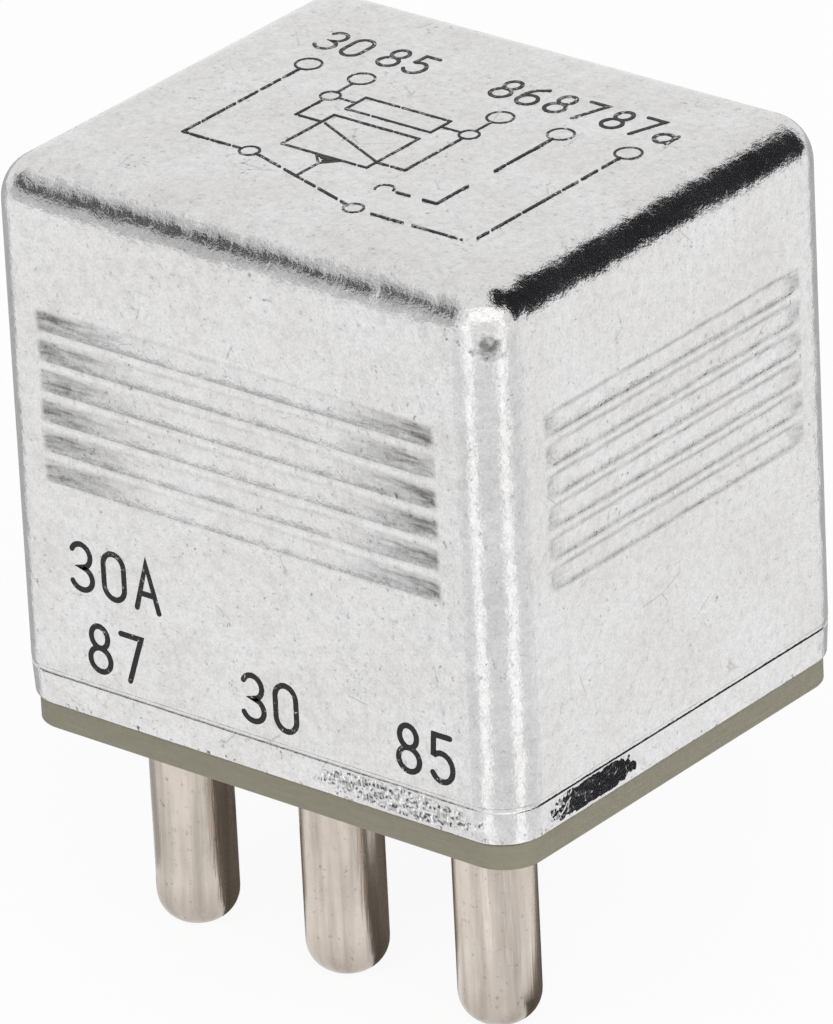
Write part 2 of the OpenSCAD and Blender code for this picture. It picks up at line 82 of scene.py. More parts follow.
def add(tree, kind, inputs=None, **settings):
    """Adds one node, sets its properties, and links or sets its inputs."""
    node = tree.nodes.new(kind)
    for name, value in settings.items():
        setattr(node, name, value)
    for name, value in (inputs or {}).items():
        if isinstance(value, bpy.types.NodeSocket):
            tree.links.new(value, node.inputs[name])
        else:
            node.inputs[name].default_value = value
    return node


print("white is", [round(c, 3) for c in linear("#FFFFFF")])

# %% [markdown]
# ## Patterns in millimetres
#
# Texture coordinates are scaled to millimetres, so every pattern uses the size that it
# really has. Noise makes grain and blotches, a range cuts it into specks, and a mix turns
# either into colour.

# %% Patterns in millimetres


def new_material(name, **values):
    """A new material: its tree, its shader and a position in millimetres."""
    material = bpy.data.materials.new(name)
    material.use_nodes = True
    tree = material.node_tree
    shader = tree.nodes["Principled BSDF"]
    for socket, value in values.items():
        shader.inputs[socket.replace("_", " ")].default_value = value
    place = add(tree, "ShaderNodeTexCoord").outputs["Object"]
    place = add(tree, "ShaderNodeVectorMath", {0: place, "Scale": 1 / MM}, operation="SCALE")
    return material, tree, shader, place.outputs[0]


def noise(tree, place, size, detail=2.0, rough=0.5):
    """Noise whose features are about `size` millimetres across."""
    inputs = {"Vector": place, "Scale": 1 / size, "Detail": detail, "Roughness": rough}
    return add(tree, "ShaderNodeTexNoise", inputs).outputs["Fac"]


def stretched(tree, place, scale):
    """The position with each axis scaled, to draw a pattern out along one of them."""
    return add(tree, "ShaderNodeMapping", {"Vector": place, "Scale": scale}).outputs[0]


def remap(tree, value, low, high, to_low=0.0, to_high=1.0):
    """Maps low..high to to_low..to_high, clamped."""
    inputs = {"Value": value, "From Min": low, "From Max": high}
    inputs |= {"To Min": to_low, "To Max": to_high}
    return add(tree, "ShaderNodeMapRange", inputs).outputs[0]


def blend(tree, factor, first, second):
    """Mixes two colours, each a hex code or a socket."""
    colours = [linear(c) if isinstance(c, str) else c for c in (first, second)]
    inputs = {"Factor": factor, 6: colours[0], 7: colours[1]}
    return add(tree, "ShaderNodeMix", inputs, data_type="RGBA").outputs[2]


print("positions are multiplied by", round(1 / MM), "to give millimetres")

# %% [markdown]
# ## Masks, bumps and scratches
#
# A mask is a number from 0 to 1 that says where something is. Painting one by hand would
# need an image, so masks are worked out from noise and from the position: a product keeps
# what they share, and a sum collects them. Heights are added up in millimetres too, before
# a bump node turns them into a surface. Scratches are stretches of the edges of cells.

# %% Masks, bumps and scratches


def compute(tree, operation, *values):
    """One math node on sockets or numbers."""
    return add(tree, "ShaderNodeMath", dict(enumerate(values)), operation=operation).outputs[0]


def product(tree, first, *others):
    """Sockets and numbers multiplied together."""
    for other in others:
        first = compute(tree, "MULTIPLY", first, other)
    return first


def total(tree, first, *others):
    """Sockets and numbers added together."""
    for other in others:
        first = compute(tree, "ADD", first, other)
    return first


def bump(tree, height):
    """The normal of a surface with this height in millimetres."""
    inputs = {"Height": height, "Distance": MM, "Strength": 1.0}
    return add(tree, "ShaderNodeBump", inputs).outputs[0]


def scratches(tree, place, spacing, width, cover):
    """Short fine curved lines: cell edges, of which noise keeps only some stretches."""
    inputs = {"Vector": place, "Scale": 1 / spacing}
    sway = add(tree, "ShaderNodeTexNoise", inputs).outputs["Color"]
    place = add(tree, "ShaderNodeMix", {0: 0.12, 4: place, 5: sway}, data_type="VECTOR").outputs[1]
    inputs["Vector"] = place
    edge = add(tree, "ShaderNodeTexVoronoi", inputs, feature="DISTANCE_TO_EDGE").outputs[0]
    line = remap(tree, edge, 0.0, width / spacing, 1.0, 0.0)
    return product(tree, line, remap(tree, noise(tree, place, spacing * 0.7), cover, cover + 0.05))


print("pattern helpers ready")

# %% [markdown]
# ## The camera
#
# The relay is seen from the front right and from above with a long lens, so its edges stay
# nearly parallel. A tracking constraint could aim the camera. Here its three directions are
# worked out instead, because it is also rolled slightly.

# %% Camera
AZIMUTH = math.radians(39.74)
ELEVATION = math.radians(25.8)
ROLL = math.radians(-2.84)
DISTANCE = 0.516
LOOK_AT = Vector((0, 0, 0.0212))
SIDE_STEP = 0.326 * MM
UP_STEP = 0.228 * MM
FOCAL_LENGTH = 257.9
SENSOR_HEIGHT = 24

ahead = Vector((math.sin(AZIMUTH), -math.cos(AZIMUTH), 0))
back = math.cos(ELEVATION) * ahead + math.sin(ELEVATION) * Vector((0, 0, 1))
level = Vector((math.cos(AZIMUTH), math.sin(AZIMUTH), 0))
upright = back.cross(level)
right = math.cos(ROLL) * level + math.sin(ROLL) * upright
up = math.cos(ROLL) * upright - math.sin(ROLL) * level

camera = bpy.data.objects.new("camera", bpy.data.cameras.new("camera"))
bpy.context.collection.objects.link(camera)
stand = LOOK_AT + DISTANCE * back - SIDE_STEP * right - UP_STEP * up
camera.matrix_world = Matrix.Translation(stand) @ Matrix((right, up, back)).transposed().to_4x4()
camera.data.sensor_fit = "VERTICAL"
camera.data.sensor_height = SENSOR_HEIGHT
camera.data.lens = FOCAL_LENGTH
camera.data.clip_start = 0.01
bpy.context.scene.camera = camera
print("camera at", [round(c, 3) for c in stand])

# %% [markdown]
# ## Places on the can
#
# The flutes pressed into each wall stiffen the can. Painted shade darkens their ends and the
# rims along their edges, and a painted highlight lightens the ridges between them. A mask is
# 1 at such a place. It is worked out from the height and from the distance along the wall,
# so it fits the pressed shape on all four walls. On each wall the row of flutes sits a little
# to the left of the middle.

# %% Places on the can
can_low, can_high = [Vector(corner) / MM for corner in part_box("can")]
# Millimetres: the pitch of the flutes, half a flute, a row's shift to the left, and half the
# length of a row on the front and on the sides.
FLUTE_PITCH = 1.55
FLUTE_HALF = 0.55
FLUTE_SHIFT = 0.3
FRONT_ROW = 11.65
SIDE_ROW = 9.5
FLUTES_LOW = can_low.z + 11.75
FLUTES_HIGH = FLUTES_LOW + 6 * FLUTE_PITCH


def inside(tree, value, low, high, soft):
    """1 between low and high, with soft ends."""
    rise = remap(tree, value, low - soft, low + soft)
    fall = remap(tree, value, high - soft, high + soft, 1.0, 0.0)
    return product(tree, rise, fall)


class Places:
    """Masks for the walls, the flutes and the lip of the can."""

    def __init__(self, tree, place):
        self.tree = tree
        self.x, self.y, self.z = add(tree, "ShaderNodeSeparateXYZ", {0: place}).outputs
        self.front = self.near_wall(self.y, can_high.y)
        self.side = self.near_wall(self.x, can_high.x)

    def near_wall(self, position, wall):
        """1 in the thickness of a wall and of the one across from it."""
        position = compute(self.tree, "ABSOLUTE", position)
        return remap(self.tree, position, wall - 0.35, wall - 0.25)

    def each_wall(self, front, side):
        """One mask on the front and back walls, another on the two sides."""
        front = product(self.tree, self.front, front)
        return total(self.tree, front, product(self.tree, self.side, side))

    def along(self, ahead, aside):
        """Distance from the middle of the row of flutes on a wall."""
        shift = product(self.tree, compute(self.tree, "SIGN", ahead), -FLUTE_SHIFT)
        return compute(self.tree, "ABSOLUTE", total(self.tree, aside, shift))

    def flutes(self):
        """Painted shade at the flutes' ends and rims, and a painted highlight on their ridges."""
        tree = self.tree
        row = compute(tree, "DIVIDE", compute(tree, "SUBTRACT", self.z, FLUTES_LOW), FLUTE_PITCH)
        off = compute(tree, "ABSOLUTE", compute(tree, "SUBTRACT", compute(tree, "FRACT", row), 0.5))
        off = product(tree, off, FLUTE_PITCH)
        band = inside(tree, self.z, FLUTES_LOW, FLUTES_HIGH, 0.1)
        front = self.along(self.y, self.x)
        side = self.along(self.x, self.y)
        in_row = self.each_wall(remap(tree, front, FRONT_ROW - 0.1, FRONT_ROW + 0.2, 1.0, 0.0),
                                remap(tree, side, SIDE_ROW, SIDE_ROW + 0.2, 1.0, 0.0))
        near_end = self.each_wall(remap(tree, front, FRONT_ROW - 6.0, FRONT_ROW - 0.9),
                                  remap(tree, side, SIDE_ROW - 1.2, SIDE_ROW - 0.4, 0.0, 0.4))
        flute = remap(tree, off, FLUTE_HALF - 0.3, FLUTE_HALF + 0.05, 1.0, 0.0)
        # Painted shade on the run-outs at the ends of the flutes.
        end_shade = product(tree, flute, near_end)
        # A painted highlight on the ridges between the flutes.
        ridge_highlight = remap(tree, off, FLUTE_HALF, FLUTE_HALF + 0.15)
        # How strong the painted shade on the flutes' rims is, on each wall.
        rim_shade_weight = self.each_wall(0.2, remap(tree, side, SIDE_ROW - 1.2, SIDE_ROW, 0.6, 0.1))
        rim = product(tree, inside(tree, off, FLUTE_HALF - 0.14, FLUTE_HALF + 0.1, 0.1), rim_shade_weight)
        return [product(tree, band, in_row, mask) for mask in (end_shade, ridge_highlight, rim)]

    def lip(self, low, high):
        """The lip between two heights over its lower edge."""
        return inside(self.tree, self.z, can_low.z + low, can_low.z + high, 0.1)


print("flutes from", round(FLUTES_LOW, 2), "to", round(FLUTES_HIGH, 2), "mm")

# %% [markdown]
# ## Dents and a painted dark spot
#
# Handling has bent the lip in two short stretches. They are too shallow to change the
# outline, so they are part of the finish and not of the shape. Below the roof, the near
# corner has a dark spot of painted reflection in its colour. A spindle-shaped mask with a
# ragged edge says where the lip is bent.

# %% Dents and a painted dark spot
LIP_MIDDLE = can_low.z + 0.95
LIP_HALF = 0.85
# The middle and the half length of each dent, measured along its wall.
FRONT_DENT = (8.2, 4.8)
RIGHT_DENT = (-6.9, 3.6)
# The middle of a dark spot of painted reflection at the near corner, below the roof.
PAINTED_SPOT_CENTRE = (can_high.x - 0.7, can_low.y + 0.7, can_high.z - 2.6)


def dent(places, aside, middle, half, ragged):
    """A spindle-shaped stretch of the lip."""
    tree = places.tree
    along = compute(tree, "DIVIDE", compute(tree, "SUBTRACT", aside, middle), half)
    height = compute(tree, "SUBTRACT", places.z, LIP_MIDDLE)
    height = compute(tree, "DIVIDE", height, LIP_HALF)
    squares = [compute(tree, "POWER", part, 2) for part in (along, height)]
    reach = total(tree, *squares, ragged)
    return product(tree, remap(tree, reach, 0.75, 1.05, 1.0, 0.0), places.lip(0.2, 1.7))


def dents(places, ragged):
    """One dent in the lip of the front wall and one in that of the right wall."""
    tree = places.tree
    is_front = compute(tree, "LESS_THAN", places.y, 0.0)
    is_right = compute(tree, "GREATER_THAN", places.x, 0.0)
    front = product(tree, dent(places, places.x, *FRONT_DENT, ragged), is_front, 0.85)
    right_side = product(tree, dent(places, places.y, *RIGHT_DENT, ragged), is_right)
    return places.each_wall(front, right_side)


def painted_dark_spot(tree, place):
    """A ragged spot of painted dark reflection at the near corner."""
    inputs = {0: place, 1: PAINTED_SPOT_CENTRE}
    away = add(tree, "ShaderNodeVectorMath", inputs, operation="DISTANCE").outputs["Value"]
    away = total(tree, away, remap(tree, noise(tree, place, 0.4), 0.3, 0.7, -0.3, 0.3))
    return remap(tree, away, 0.2, 0.75, 1.0, 0.0)


print("dents", 2 * FRONT_DENT[1], "and", 2 * RIGHT_DENT[1], "mm long")

# %% [markdown]
# ## The can
#
# The can is drawn from aluminium sheet, a metal with a satin skin: it mirrors what is round
# it, softly. An image wrapped round the can would show a seam, so each mark is worked out
# in space. A fine grain breaks up the reflections and soft waves bend them at the rounded
# corners. Specks, scratches and smudges tell of years in a socket. In a dent the normal
# leans and is crumpled, so that it mirrors other things.

# %% Aluminium
GRAIN_HEIGHT = 0.018
WAVE_HEIGHT = 0.11
DENT_SLOPE = -0.72


def aluminium():
    """Drawn aluminium sheet with marks, smudges and dents, and painted light and shade."""
    material, tree, shader, place = new_material("drawn_aluminium", Metallic=1.0)
    # The grain of rolled sheet is too fine to show, so it is drawn a few times coarser.
    grain = noise(tree, place, 0.15, rough=0.6)
    wave = noise(tree, place, 1.5)
    smudge = noise(tree, place, 4.0, detail=4.0, rough=0.6)
    speck = remap(tree, noise(tree, place, 0.3, detail=3.0, rough=0.65), 0.6, 0.74)
    mottle = remap(tree, noise(tree, place, 0.5, detail=3.0), 0.4, 0.7, 0.0, 0.14)
    fine = remap(tree, noise(tree, place, 0.14), 0.3, 0.7, 0.0, 0.18)
    streak = noise(tree, stretched(tree, place, (0.3, 0.3, 2.0)), 0.5, detail=3.0)
    streak = remap(tree, streak, 0.35, 0.65)
    marks = scratches(tree, place, 3.2, 0.05, 0.6)
    painted_spot = painted_dark_spot(tree, place)
    places = Places(tree, place)
    # Painted shade at the flutes' ends and rims, and a painted highlight on their ridges.
    ends, ridge_highlight, rim = places.flutes()

    colour = blend(tree, remap(tree, smudge, 0.35, 0.65), "#E7E6E5", "#F0EFEF")
    # A painted highlight lightens the ridges between the flutes.
    colour = blend(tree, product(tree, ridge_highlight, 0.3), colour, "#F6F6F5")
    # Painted shade darkens the ends and rims of the flutes.
    flute_shade = product(tree, total(tree, ends, rim), remap(tree, streak, 0.0, 1.0, 0.3, 0.85))
    edge = product(tree, places.lip(0.0, 0.35), speck, 1.4)
    worn = total(tree, product(tree, speck, 0.35), product(tree, marks, 0.3))
    # A painted dark reflection at the near corner: a dark spot in the colour.
    worn = total(tree, worn, product(tree, painted_spot, speck, 0.9), product(tree, painted_spot, 0.75))
    stain = product(tree, remap(tree, noise(tree, place, 2.5), 0.58, 0.66), speck, 0.5)
    dark = total(tree, worn, flute_shade, edge, fine, mottle, stain)
    colour = blend(tree, compute(tree, "MINIMUM", dark, 1.0), colour, "#757473")
    tree.links.new(colour, shader.inputs["Base Color"])

    rough = remap(tree, smudge, 0.3, 0.7, 0.11, 0.19)
    rough = total(tree, rough, product(tree, ends, 0.15), product(tree, speck, 0.22))
    tree.links.new(rough, shader.inputs["Roughness"])
    height = total(tree, product(tree, grain, GRAIN_HEIGHT), product(tree, wave, WAVE_HEIGHT))
    swirl = remap(tree, places.y, -9.4, -8.4, 0.4, 0.1)
    crumple = product(tree, noise(tree, place, 0.4, detail=1.0), swirl)
    bent = total(tree, product(tree, places.z, DENT_SLOPE), crumple)
    ragged = remap(tree, noise(tree, place, 0.5), 0.3, 0.7, -0.35, 0.35)
    inputs = {0: dents(places, ragged), 4: bump(tree, height), 5: bump(tree, bent)}
    normal = add(tree, "ShaderNodeMix", inputs, data_type="VECTOR").outputs[1]
    tree.links.new(normal, shader.inputs["Normal"])
    return material


can_sheet = aluminium()
print("made", can_sheet.name)

# %% [markdown]
# ## The base board
#
# The board is paper and resin, pressed to a laminate the colour of olives. Its cut edge is
# dull and shows the layers as thin level lines, a little lighter and darker than the rest.
# Noise that is squeezed in height gives such layers on all four edges at once.

# %% Laminate


def laminate():
    """Pressed board with level layers."""
    material, tree, shader, place = new_material("olive_laminate", IOR=1.5)
    layers = noise(tree, stretched(tree, place, (0.12, 0.12, 2.2)), 0.3, detail=3.0)
    mottle = noise(tree, place, 0.35, detail=3.0, rough=0.6)
    colour = blend(tree, remap(tree, layers, 0.35, 0.65), "#837F6D", "#8A8674")
    colour = blend(tree, remap(tree, mottle, 0.35, 0.75, 0.0, 0.35), colour, "#7B7765")
    tree.links.new(colour, shader.inputs["Base Color"])
    tree.links.new(remap(tree, mottle, 0.3, 0.7, 0.45, 0.62), shader.inputs["Roughness"])
    tree.links.new(bump(tree, product(tree, mottle, 0.02)), shader.inputs["Normal"])
    return material


board_laminate = laminate()
print("made", board_laminate.name)

# %% [markdown]
# ## Plated, stamped and drawn metals
#
# One function serves pins, brass, iron, rivets, wire and springs. They differ in colour and
# in the direction of their marks and stains, which softens their shine one way. Real tool
# marks are finer than a tenth of a millimetre, but that is as fine as can be seen here.

# %% Plated metals
# The height up the pins over which painted shade darkens their tips.
TIP_SHADE_HEIGHT = 2.6 * MM


def plated(name, light, dark, streak=(1.0, 1.0, 0.06)):
    """Turned or stamped metal with fine marks and stains drawn out along one axis."""
    material, tree, shader, place = new_material(name, Metallic=1.0)
    marks = noise(tree, stretched(tree, place, streak), 0.1)
    cloud = noise(tree, stretched(tree, place, (1.0, 1.0, 0.5)), 1.2, detail=4.0, rough=0.6)
    spots = remap(tree, noise(tree, place, 0.3, detail=3.0, rough=0.6), 0.62, 0.74)
    stain = noise(tree, stretched(tree, place, streak), 0.7, detail=3.0, rough=0.6)
    colour = blend(tree, remap(tree, cloud, 0.3, 0.7), light, dark)
    worn = total(tree, product(tree, spots, 0.4), remap(tree, stain, 0.42, 0.66, 0.0, 0.34))
    colour = blend(tree, worn, colour, "#6B655D")
    tree.links.new(colour, shader.inputs["Base Color"])
    tree.links.new(remap(tree, cloud, 0.3, 0.7, 0.2, 0.3), shader.inputs["Roughness"])
    tree.links.new(bump(tree, product(tree, marks, 0.012)), shader.inputs["Normal"])
    return material


def pin_plating():
    """Nickel plate, with painted shade that darkens it towards the tips."""
    material = plated("nickel_plating", "#DDD3C9", "#CFC4B9")
    tree = material.node_tree
    colour = tree.nodes["Principled BSDF"].inputs["Base Color"]
    place = add(tree, "ShaderNodeTexCoord").outputs["Object"]
    height = add(tree, "ShaderNodeSeparateXYZ", {0: place}).outputs[2]
    # Painted shade darkens the lowest part of each pin.
    tip_shade = remap(tree, height, 0.0, TIP_SHADE_HEIGHT, 0.5, 0.0)
    tree.links.new(blend(tree, tip_shade, colour.links[0].from_socket, "#857A6F"), colour)
    return material


nickel_plating = pin_plating()
print("made", nickel_plating.name)

# %% [markdown]
# ## Mouldings and coatings
#
# The coil former is moulded in natural nylon and the resistor has a fired lacquer. Both are
# smooth and a little cloudy, so a fine mottle in colour and gloss is enough.

# %% Mouldings and coatings


def coated(name, light, dark, size, rough, depth):
    """Moulded or coated material with a fine mottle."""
    material, tree, shader, place = new_material(name, IOR=1.5)
    mottle = noise(tree, place, size, detail=3.0)
    colour = blend(tree, remap(tree, mottle, 0.35, 0.65), light, dark)
    tree.links.new(colour, shader.inputs["Base Color"])
    tree.links.new(remap(tree, mottle, 0.3, 0.7, rough, rough + 0.12), shader.inputs["Roughness"])
    tree.links.new(bump(tree, product(tree, mottle, depth)), shader.inputs["Normal"])
    return material


nylon = coated("natural_nylon", "#DDD5BF", "#D2C8AF", 0.8, 0.4, 0.01)
print("made", nylon.name)

# %% [markdown]
# ## Dress every piece
#
# The record says which material slot each piece takes its finish from. A material could be
# set on one piece at a time, but a loop over the record leaves none out.

# %% Dress every piece
# Marks run upright, unless one of these says that they run level, round the coil or no way.
LEVEL = (0.1, 1.0, 1.0)
ROUND_COIL = (0.1, 0.1, 4.0)
EVEN = (1.0, 1.0, 1.0)
MATERIALS = {
    "can_sheet": can_sheet,
    "laminate": board_laminate,
    "pin_plating": nickel_plating,
    "moulding": nylon,
    "terminal_brass": plated("stamped_brass", "#D9B871", "#C9A35C", LEVEL),
    "contact_silver": plated("contact_silver", "#E6E4DF", "#D5D2CB"),
    "soft_iron": plated("zinc_plated_iron", "#BDBDB9", "#A8A8A5", LEVEL),
    "rivet_metal": plated("rivet_steel", "#C9C8C4", "#B4B3AF"),
    "copper_wire": plated("enamelled_copper", "#B5622F", "#9E4F24", ROUND_COIL),
    "copper_braid": plated("bare_copper", "#DA8A67", "#C87850", EVEN),
    "spring_bronze": plated("phosphor_bronze", "#D19A63", "#BF8650", LEVEL),
    "spring_steel": plated("spring_steel", "#8F8F92", "#7A7A7D", EVEN),
    "resistor_coat": coated("lacquer", "#B79B6E", "#A98C5F", 1.2, 0.25, 0.004),
}
slot_of = {part["node"]: part["material_slot"] for part in frame["record"]["subparts"]}
for name, piece in frame["nodes"].items():
    piece.data.materials.clear()
    piece.data.materials.append(MATERIALS[slot_of[name]])
print(len(MATERIALS), "materials on", len(slot_of), "nodes")

# %% [markdown]
# ## Spring and braid
#
# The return spring and the braid are fixed to the housing below and to the armature above.
# As rigid pieces they would come loose at one end as the armature swings. Here each is only
# drawn again as a rigid copy of its own shape, and the CAD piece is hidden.


def bending(node, name):
    """A copy of a node in the same place, with the node itself hidden."""
    piece = bpy.data.objects.new(name, frame["nodes"][node].data.copy())
    bpy.context.collection.objects.link(piece)
    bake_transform(piece)
    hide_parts(node)


bending("return_spring", "spring_coil")
bending("braid", "braid_lead")

# %% [markdown]
# ## A stroke font
#
# The numbers are printed in plain strokes of one width with round ends. A text object would
# bring the look of its own font, so the figures are drawn here: each is a few lines and
# arcs in a box one unit high. A stroke that ends where it starts is a closed loop.

# %% A stroke font


def arc(x, y, rx, ry, start, end):
    """Points along an elliptical arc, in degrees."""
    steps = max(2, round(abs(end - start) / 12))
    turns = [math.radians(start + (end - start) * i / steps) for i in range(steps + 1)]
    return [(x + rx * math.cos(t), y + ry * math.sin(t)) for t in turns]


def closed(points):
    """The same points as a loop that ends exactly where it starts."""
    return points[:-1] + points[:1]


GLYPHS = {
    "0": [closed(arc(0.26, 0.72, 0.26, 0.28, 0, 180)
                 + arc(0.26, 0.28, 0.26, 0.28, 180, 360) + [(0, 0)])],
    "3": [arc(0.25, 0.75, 0.24, 0.25, 155, -90) + arc(0.25, 0.25, 0.27, 0.25, 90, -155)[1:]],
    "5": [[(0.48, 1.0), (0.08, 1.0), (0.05, 0.58)] + arc(0.25, 0.31, 0.27, 0.31, 125, -150)],
    "6": [closed(arc(0.26, 0.27, 0.26, 0.27, 0, 360)),
          [(0.4, 0.98)] + arc(0.32, 0.4, 0.32, 0.5, 125, 180)],
    "7": [[(0.0, 1.0), (0.52, 1.0), (0.18, 0.0)]],
    "8": [closed(arc(0.26, 0.76, 0.21, 0.24, 0, 360)),
          closed(arc(0.26, 0.26, 0.26, 0.26, 0, 360))],
    "A": [[(0.0, 0.0), (0.28, 1.0), (0.56, 0.0)], [(0.1, 0.34), (0.46, 0.34)]],
    "a": [closed(arc(0.24, 0.24, 0.24, 0.24, 0, 360)), [(0.48, 0.5), (0.48, 0.0)]],
}
HALF_WIDTH = 0.26


def write(text, x, y, height, pitch):
    """The strokes of a word centred at x, with its middle at y."""
    strokes = []
    start = x - pitch * (len(text) - 1) / 2
    for i, letter in enumerate(text):
        left = start + i * pitch
        for stroke in GLYPHS[letter]:
            strokes.append([(left + (u - HALF_WIDTH) * height, y + (v - 0.5) * height)
                            for u, v in stroke])
    return strokes


print("figures:", " ".join(GLYPHS))

# %% [markdown]
# ## From a stroke to a ribbon
#
# A stroke becomes a thin solid ribbon that lies on the metal. A curve with a round bevel
# would stand up as high as it is wide, so the ribbon is built from points. Two rails run
# beside the line, an open stroke gets a round cap at each end, and a loop joins up with
# itself.

# %% Ribbons
CAP_TURNS = [math.radians(a) for a in (30, 60, 90, 120, 150)]


def rails(points, half, loop):
    """Points to the left and right of a line, mitred at its corners."""
    left, right_rail = [], []
    for i, point in enumerate(points):
        before = point - points[i - 1] if i or loop else points[1] - point
        after = points[(i + 1) % len(points)] - point if i + 1 < len(points) or loop else before
        before, after = before.normalized(), after.normalized()
        way = (before + after).normalized()
        aside = Vector((-way.y, way.x)) * half / max(0.35, way.dot(after))
        left.append(point + aside)
        right_rail.append(point - aside)
    return left, right_rail


def cap(centre, way, half):
    """The round end of a stroke that runs towards `way`."""
    side = Vector((-way.y, way.x))
    return [centre + half * (math.cos(t) * side + math.sin(t) * way) for t in CAP_TURNS]


def ribbon(stroke, width, height):
    """Vertices and faces of a flat solid stroke, `height` thick."""
    half = width / 2
    loop = stroke[0] == stroke[-1]
    points = [Vector(p) for p in (stroke[:-1] if loop else stroke)]
    left, right_rail = rails(points, half, loop)
    n = len(points)
    around = left + right_rail[::-1]
    last = 2 * n - 1
    runs = n if loop else n - 1
    flat = [(i, (i + 1) % n, last - (i + 1) % n, last - i) for i in range(runs)]
    if loop:
        rims = [list(range(n)), list(range(last, n - 1, -1))]
    else:
        around += cap(points[-1], (points[-1] - points[-2]).normalized(), half)
        around += cap(points[0], (points[0] - points[1]).normalized(), half)
        head = [2 * n + k for k in range(len(CAP_TURNS))]
        tail = [k + len(CAP_TURNS) for k in head]
        flat += [(n - 1, *head, n), (last, *tail, 0)]
        rims = [list(range(n)) + head + list(range(n, 2 * n)) + tail]
    count = len(around)
    verts = [(p.x, p.y, 0) for p in around] + [(p.x, p.y, height) for p in around]
    faces = flat + [tuple(v + count for v in face[::-1]) for face in flat]
    for k, rim in enumerate(rims):
        for i, j in zip(rim, rim[1:] + rim[:1]):
            wall = (i, j, j + count, i + count)
            faces.append(wall if k else wall[::-1])
    return verts, faces


print("a short stroke has", len(ribbon([(0, 0), (1, 0)], 0.2, 0.02)[1]), "faces")

# %% [markdown]
# ## Ink
#
# The print is a black ink, thinner than a hair and duller than the metal. As thin pieces of
# its own it keeps sharp edges from close by, which a mask in the can's material would not.
# Where it has worn through, the metal shows. The roof has faded more than the front.

# %% Ink
INK_HEIGHT = 0.02
INK_STEP = 0.0005


def ink(name, black, worn):
    """Ink that has worn away where its noise lies over `worn`."""
    material, tree, shader, place = new_material(name, IOR=1.4)
    wear = remap(tree, noise(tree, place, 0.25, detail=4.0, rough=0.7), worn, worn + 0.06)
    patch = remap(tree, noise(tree, place, 2.5), 0.4, 0.62)
    wear = product(tree, wear, patch)
    tree.links.new(blend(tree, wear, black, "#D2D1CF"), shader.inputs["Base Color"])
    tree.links.new(wear, shader.inputs["Metallic"])
    tree.links.new(remap(tree, wear, 0.0, 1.0, 0.55, 0.2), shader.inputs["Roughness"])
    return material


FRESH_INK = ink("black_ink", "#18181A", 0.6)
FADED_INK = ink("faded_ink", "#2B2B2D", 0.53)


def on_front(x, z, h):
    """A point h in front of the front wall."""
    return Vector((x, can_low.y - h, z)) * MM


def on_roof(x, y, h):
    """A point h above the roof."""
    return Vector((x, y, can_high.z + h)) * MM


def print_strokes(name, strokes, width, to_world, colour):
    """One piece of all the strokes, each drawn in millimetres on a face of the can."""
    verts, faces = [], []
    for i, stroke in enumerate(strokes):
        # Each stroke is a hair higher than the last, so that none lies in another's plane.
        points, sides = ribbon(stroke, width, INK_HEIGHT + i * INK_STEP)
        faces += [tuple(v + len(verts) for v in side) for side in sides]
        verts += [to_world(*point) for point in points]
    mesh = bpy.data.meshes.new(name)
    mesh.from_pydata(verts, [], faces)
    mesh.materials.append(colour)
    piece = bpy.data.objects.new(name, mesh)
    bpy.context.collection.objects.link(piece)
    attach(piece, "housing")
    print(name, len(strokes), "strokes")


print("made", FRESH_INK.name, "and", FADED_INK.name)

# %% [markdown]
# ## Numbers on the front
#
# A terminal number stands above each front pin, and the rated current above the first.

# %% Numbers on the front
NUMBER_ROW = 16.55
RATING_ROW = 20.6
NUMBER_HEIGHT = 2.36
NUMBER_PITCH = 1.95
NUMBER_STROKE = 0.28
numbers = write("30A", -8.25, RATING_ROW, NUMBER_HEIGHT, NUMBER_PITCH)
for text, x in (("87", -8.4), ("30", 0.85), ("85", 10.05)):
    numbers += write(text, x, NUMBER_ROW, NUMBER_HEIGHT, NUMBER_PITCH)
print_strokes("front_numbers", numbers, NUMBER_STROKE, on_front, FRESH_INK)

# %% [markdown]
# ## Flaked lines
#
# Ink on the roof has flaked, so long lines are broken. The gaps could be cut by hand, but
# there are many. A random draw breaks a line into dashes of uneven length, and its seed
# makes it the same each time.

# %% Flaked lines


def ring(x, y, r):
    """A circle as a closed stroke."""
    return closed(arc(x, y, r, r, 0, 360))


def box(x0, y0, x1, y1):
    """A rectangle as a closed stroke."""
    return [(x0, y0), (x1, y0), (x1, y1), (x0, y1), (x0, y0)]


def flaked(stroke, dash, gap, seed):
    """Breaks a line into dashes of uneven length, as flaked print is."""
    chance = random.Random(seed)
    pieces, piece, run = [], [Vector(stroke[0])], dash * chance.uniform(0.5, 1.5)
    for corner in stroke[1:]:
        corner = Vector(corner)
        while (corner - piece[-1]).length > run:
            way = (corner - piece[-1]).normalized()
            pieces.append(piece + [piece[-1] + way * run])
            hole = min(gap * chance.uniform(0.6, 1.4), (corner - pieces[-1][-1]).length * 0.9)
            piece = [pieces[-1][-1] + way * hole]
            run = dash * chance.uniform(0.5, 1.5)
        run -= (corner - piece[-1]).length
        piece.append(corner)
    return pieces + [piece]


print("10 mm break into", len(flaked([(0, 0), (10, 0)], 1.5, 0.3, 1)), "dashes")

# %% [markdown]
# ## Circuit on the roof
#
# The circuit of a changeover relay: a coil with its suppression resistor between 85 and 86,
# and a contact arm that swings from 87a to 87. The lines hang from a row of rings, one for
# each terminal, so they are given by the rings' places and by heights below them.

